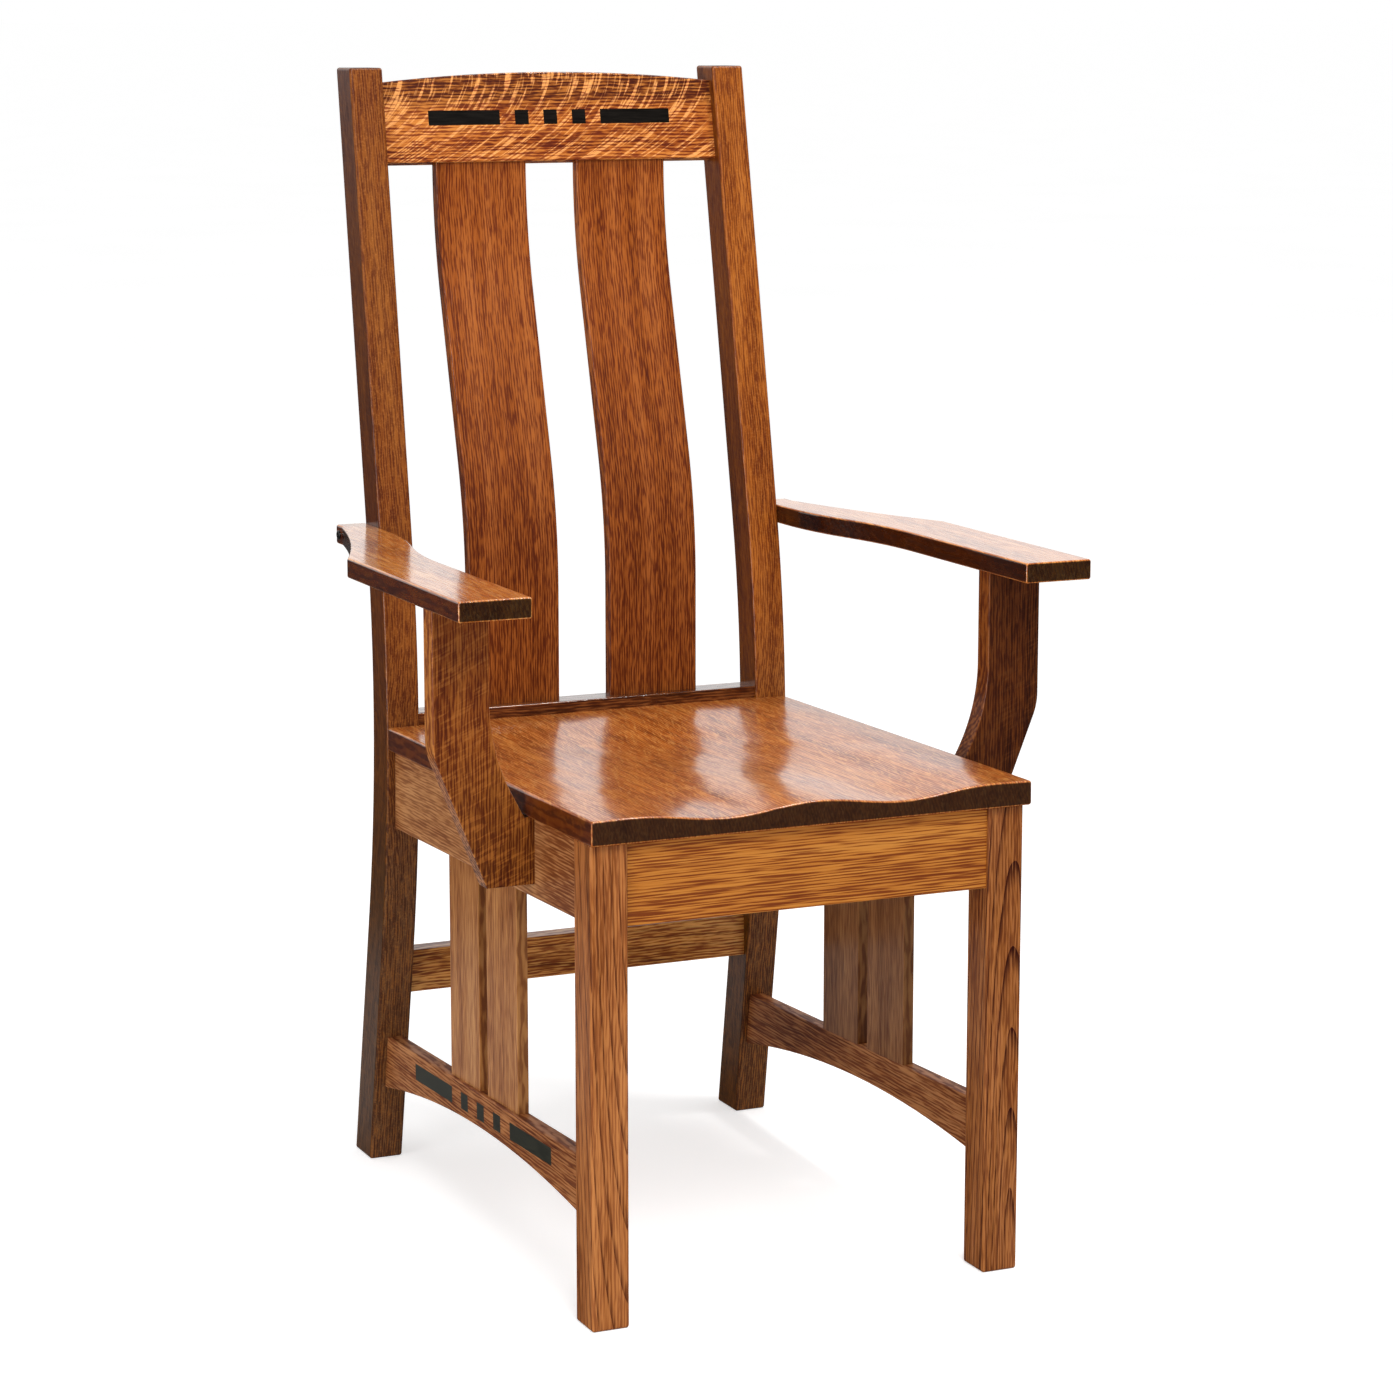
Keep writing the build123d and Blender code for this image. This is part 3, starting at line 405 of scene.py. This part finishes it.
def sawn(node, tree, look, **sizes):
    """Runs a geometry tree with its sizes, and its result as a plain mesh stands for the node."""
    holder = bpy.data.objects.new(node + "_tree", bpy.data.meshes.new(node + "_tree"))
    bpy.context.scene.collection.objects.link(holder)
    run = holder.modifiers.new("tree", "NODES")
    run.node_group = tree
    for item in tree.interface.items_tree:
        if item.in_out == "INPUT":
            run[item.identifier] = look if item.name == "Look" else sizes[item.name.replace(" ", "_")]
    mesh = bpy.data.meshes.new_from_object(holder.evaluated_get(bpy.context.evaluated_depsgraph_get()))
    bpy.data.objects.remove(holder)
    shape = bmesh.new()
    shape.from_mesh(mesh)
    bpy.data.meshes.remove(mesh)
    bmesh.ops.remove_doubles(shape, verts=shape.verts, dist=weld)
    bmesh.ops.recalc_face_normals(shape, faces=shape.faces)
    stand_for(node, shape, node + "_sawn", look, 50)


slat_tree = swept_board()
side_slat_ease = 0.0006
side_slat_extra = 0.001  # so that no white shows between the far pair
for side, browns, seeds in (("left", ("8C5024", "AC703A", "BE8650"), (12.3, 13.6)),
                            ("right", ("744620", "8A5A32", "9C6C40"), (14.2, 15.8))):
    for place, seed in zip(("front", "rear"), seeds):
        node = "side_slat_" + place + "_" + side
        low, high = [Vector(corner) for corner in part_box(node)]
        middle = (low + high) / 2
        sixth = Vector((0, 0, (high.z - low.z) / 6))
        # Their narrow front and back edges are darkened with painted shade.
        look = stained_oak(node, "z", "x", browns, seed, pore=(2.7, 22, 0.55), side=("y", "DBD8D4"))
        sawn(node, slat_tree, look, Foot=middle - 3 * sixth, Low_Bend=middle - sixth,
             High_Bend=middle + sixth, Head=middle + 3 * sixth, Width=high.x - low.x,
             Thickness=high.y - low.y + side_slat_extra, Ease=side_slat_ease, Bend_Radius=0.0)

# Crest rail. Quarter-sawn oak, arched on top, set between the posts: level grain crossed by thin
# golden ray flecks that slant up to the right.
finished("crest_rail", stained_oak("crest_rail", "x", "y", ("863A0A", "AE5E20", "CC8038"), 16.4,
                                   pore=(3.5, 12, 0.85), flecks=(3.2, 30, (1.9, 0.1), 0.85, "F0A862"),
                                   fade=("z", 1.06, 1.074, 0.9, "662E0A")))

# Back slats. Two wide oak boards, each bent twice, so that it stands upright behind the sitter's
# waist, leans back above it and is upright again under the crest rail. Housed in the rail above and
# in the lower rail behind the seat.
back_slat_width = 0.0965
back_slat_thickness = 0.0128
back_slat_ease = 0.0016
back_slat_centre = 0.07595
bend_radius = 0.502
bow = [(0.2139, 0.4599), (0.2139, 0.6529), (0.2944, 0.9456), (0.2944, 1.0226)]
lean_back = (bow[1][1], bow[2][1], bow[2][0] - bow[1][0])
for side, across, seed in (("left", -back_slat_centre, 17.5), ("right", back_slat_centre, 18.9)):
    node = "back_slat_" + side
    # Painted shade darkens each slat towards its foot.
    look = stained_oak(node, "z", "y", ("7C3A08", "924A14", "A25A24"), seed, pore=(2.6, 14, 0.75),
                       fade=("z", 0.85, 0.5, 0.65, "6A3410"), bends=(lean_back,))
    foot, low_bend, high_bend, head = [(across, y, z) for y, z in bow]
    sawn(node, slat_tree, look, Foot=foot, Low_Bend=low_bend, High_Bend=high_bend, Head=head,
         Width=back_slat_width, Thickness=back_slat_thickness, Ease=back_slat_ease,
         Bend_Radius=bend_radius)

# Lower back rail. An oak rail between the posts, standing a finger's width above the seat's back
# edge, with a bright eased arris along its top.
finished("lower_back_rail", stained_oak("lower_back_rail", "x", "y", ("4A240C", "683616", "8A522C"),
                                        19.3, pore=(3.0, 14, 0.8), sheen=0.2, coat=1.0))

# Arm posts. Boards that stand on the side aprons, curve in under the seat's edge and carry the arms,
# with rippled figure. The left one is paler, and darkens towards its foot.
for side, browns, ripple, front, foot, seed in (
        ("left", ("803E12", "A25C22", "B87434"), "C07C3C", "D0C4B2", ("z", 0.52, 0.4, 0.8, "6D3B15"), 20.4),
        ("right", ("5A2C0A", "763E12", "8C5020"), "804C22", "BCB0A0", None, 21.7)):
    node = "arm_post_" + side
    # Their broad front and back faces are darkened with painted shade.
    finished(node, stained_oak(node, "z", "y", browns, seed, pore=(2.8, 14, 0.75),
                               flecks=(2.6, 22, -66, 0.6, ripple), side=("y", front), fade=foot))

# Arms. Flat oak boards with grain front to back, narrow beside the posts and flared to the front,
# dark on the end grain and with painted shade on their side edges. Dowelled to the arm posts and
# bolted to the rear posts.
for side, edge, seed in (("left", "6A4C26", 22.6), ("right", "402C1C", 23.8)):
    node = "arm_" + side
    finished(node, stained_oak(node, "y", "z", ("A25416", "CC762C", "DE9446"), seed,
                               pore=(3.2, 30, 0.5), flecks=(1.8, 30, 8, 0.6, "F2B068"),
                               side=("x", edge), end="0A0502", sheen=0.22, coat=1.0))


# Dowels and corner blocks. Plain oak, sanded and left without stain, inside the frame.
def plain_oak(name, dark, pale):
    """Unstained sanded oak: dull, with fine pores along the grain."""
    material, tree, place = blank_finish(name)
    fine = add(tree, "ShaderNodeMapping", i0=place["Object"], Rotation=(0, 0, radians(45)),
               Scale=(40, 600, 600))
    streaks = add(tree, "ShaderNodeTexNoise", i0=fine, Scale=1.0, Detail=4.0)
    colour = add(tree, "ShaderNodeValToRGB", {"stops": [(0.3, tone(dark)), (0.7, tone(pale))]},
                 i0=streaks)
    dull = add(tree, "ShaderNodeMapRange", i0=streaks, i1=0.3, i2=0.7, i3=0.6, i4=0.75)
    wood = add(tree, "ShaderNodeBsdfPrincipled", Base_Color=colour, Roughness=dull, IOR=1.5)
    add(tree, "ShaderNodeOutputMaterial", i0=wood)
    return material


dressed(plain_oak("sanded unstained oak", "A07A50", "CDAA80"), "arm_dowels", "corner_block_front_left",
        "corner_block_front_right", "corner_block_rear_left", "corner_block_rear_right")


# Screws and bolts. Zinc-plated steel: seat screws through the corner blocks, screws through the side
# aprons into the arm posts, and a bolt through each arm into the rear post under a cap.
def zinc(name, dark, pale):
    """Zinc plating on steel: grey metal, slightly cloudy."""
    material, tree, place = blank_finish(name)
    cloud = add(tree, "ShaderNodeTexNoise", i0=place["Object"], Scale=900.0, Detail=2.0)
    colour = add(tree, "ShaderNodeValToRGB", {"stops": [(0.3, tone(dark)), (0.7, tone(pale))]}, i0=cloud)
    bright = add(tree, "ShaderNodeMapRange", i0=cloud, i1=0.3, i2=0.7, i3=0.28, i4=0.42)
    metal = add(tree, "ShaderNodeBsdfPrincipled", Base_Color=colour, Roughness=bright, Metallic=1.0)
    add(tree, "ShaderNodeOutputMaterial", i0=metal)
    return material


dressed(zinc("zinc plated steel", "A8A8A4", "C6C6C0"), "arm_post_screws", "arm_bolts", "seat_screws")


# Bolt caps. Glossy black moulded plugs that close the bolt holes in the arms' outer edges.
def black_plastic(name, dark, pale):
    """Moulded black plastic: glossy, with the faint unevenness of a small moulding."""
    material, tree, place = blank_finish(name)
    waves = add(tree, "ShaderNodeTexNoise", i0=place["Object"], Scale=500.0, Detail=2.0)
    colour = add(tree, "ShaderNodeValToRGB", {"stops": [(0.3, tone(dark)), (0.7, tone(pale))]}, i0=waves)
    gloss = add(tree, "ShaderNodeMapRange", i0=waves, i1=0.3, i2=0.7, i3=0.16, i4=0.24)
    plastic = add(tree, "ShaderNodeBsdfPrincipled", Base_Color=colour, Roughness=gloss, IOR=1.5)
    add(tree, "ShaderNodeOutputMaterial", i0=plastic)
    return material


finished("arm_bolt_caps", black_plastic("glossy black plastic", "0A0A0A", "141414"))

# Studio. A wide white paper floor and a white surround, soft lamps, and the camera at the
# photograph's angle. The varnish mirrors white from behind the chair, and a dim room elsewhere.
white = (1, 1, 1, 1)
dim_room = 0.05
floor_reach = 600.0
floor_mesh = bpy.data.meshes.new("studio_floor")
corners = [(x * floor_reach, y * floor_reach, 0) for x, y in ((-1, -1), (1, -1), (1, 1), (-1, 1))]
floor_mesh.from_pydata(corners, [], [(0, 1, 2, 3)])
floor = bpy.data.objects.new("studio_floor", floor_mesh)
bpy.context.scene.collection.objects.link(floor)

# White paper: matt and very slightly cloudy. The camera sees it a little lifted, to white.
paper, tree, place = blank_finish("white paper floor")
ray = add(tree, "ShaderNodeLightPath").outputs
cloud = add(tree, "ShaderNodeTexNoise", i0=place["Object"], Scale=1.5, Detail=2.0)
pale = add(tree, "ShaderNodeValToRGB", {"stops": [(0.3, tone("E6E6E6")), (0.7, tone("E9E9E9"))]}, i0=cloud)
matt = add(tree, "ShaderNodeBsdfDiffuse", i0=pale)
lift = add(tree, "ShaderNodeMath", {"operation": "MULTIPLY"}, i0=ray["Is Camera Ray"], i1=0.5)
lit = add(tree, "ShaderNodeAddShader", i0=matt, i1=add(tree, "ShaderNodeEmission", i0=white, i1=lift))
# In the varnish the paper shows as painted light: it glows white in a patch behind the chair and dim
# elsewhere.
painted_glow_place, painted_glow_level = (-0.3, 0.75, 0), 0.3
away = add(tree, "ShaderNodeVectorMath", {"operation": "DISTANCE"}, i0=place["Object"], i1=painted_glow_place)
near = add(tree, "ShaderNodeMapRange", i0=away.outputs["Value"], i1=0.3, i2=0.6, i3=painted_glow_level, i4=dim_room)
mirrored = add(tree, "ShaderNodeEmission", i0=white, i1=near)
both = add(tree, "ShaderNodeMixShader", i0=ray["Is Glossy Ray"], i1=lit, i2=mirrored)
add(tree, "ShaderNodeOutputMaterial", i0=both)
floor_mesh.materials.append(paper)

# Surround: white for the camera, softer as a light, and in the varnish white only behind the chair.
soft_level = 0.62
world = bpy.data.worlds.new("white surround")
bpy.context.scene.world = world
world.use_nodes = True
tree = world.node_tree
tree.nodes.clear()
ray = add(tree, "ShaderNodeLightPath").outputs
way = add(tree, "ShaderNodeSeparateXYZ", i0=add(tree, "ShaderNodeTexCoord").outputs["Generated"])
backdrop = add(tree, "ShaderNodeMapRange", i0=way.outputs[1], i1=-0.1, i2=0.4, i3=dim_room, i4=1.0)
mirror = add(tree, "ShaderNodeMath", {"operation": "MAXIMUM"}, i0=ray["Is Glossy Ray"],
             i1=ray["Is Transmission Ray"])
soft_light = add(tree, "ShaderNodeMix", i0=mirror, i2=soft_level, i3=backdrop)
level = add(tree, "ShaderNodeMix", i0=ray["Is Camera Ray"], i2=soft_light, i3=1.0)
sky = add(tree, "ShaderNodeBackground", i0=white, i1=level)
add(tree, "ShaderNodeOutputWorld", i0=sky)


chair_middle = Vector((0, 0, 0.5))


def lamp(name, place, size, power):
    """Soft square lamp aimed at the chair's middle."""
    light = bpy.data.lights.new(name, "AREA")
    light.size = size
    light.energy = power
    holder = bpy.data.objects.new(name, light)
    holder.location = place
    holder.rotation_euler = (chair_middle - Vector(place)).to_track_quat("-Z", "Y").to_euler()
    bpy.context.scene.collection.objects.link(holder)


lamp("key lamp", (-0.6, -3.2, 3.2), size=1.6, power=88)
lamp("left lamp", (-3.2, -1.3, 0.6), size=1.4, power=42)
lamp("overhead lamp", (0.75, -0.45, 2.6), size=0.35, power=22)

# The camera's place and way were fitted to the photograph's corner points.
camera_way = Vector((0.4046, 0.8967, -0.1794))
camera_data = bpy.data.cameras.new("camera")
camera_data.sensor_width = 36
camera_data.lens = 96.496
camera_data.clip_end = 5 * floor_reach
camera = bpy.data.objects.new("camera", camera_data)
camera.location = (-1.4337, -3.2458, 1.1543)
camera.rotation_euler = camera_way.to_track_quat("-Z", "Y").to_euler()
bpy.context.scene.collection.objects.link(camera)
bpy.context.scene.camera = camera
bpy.context.scene.view_settings.view_transform = "Standard"
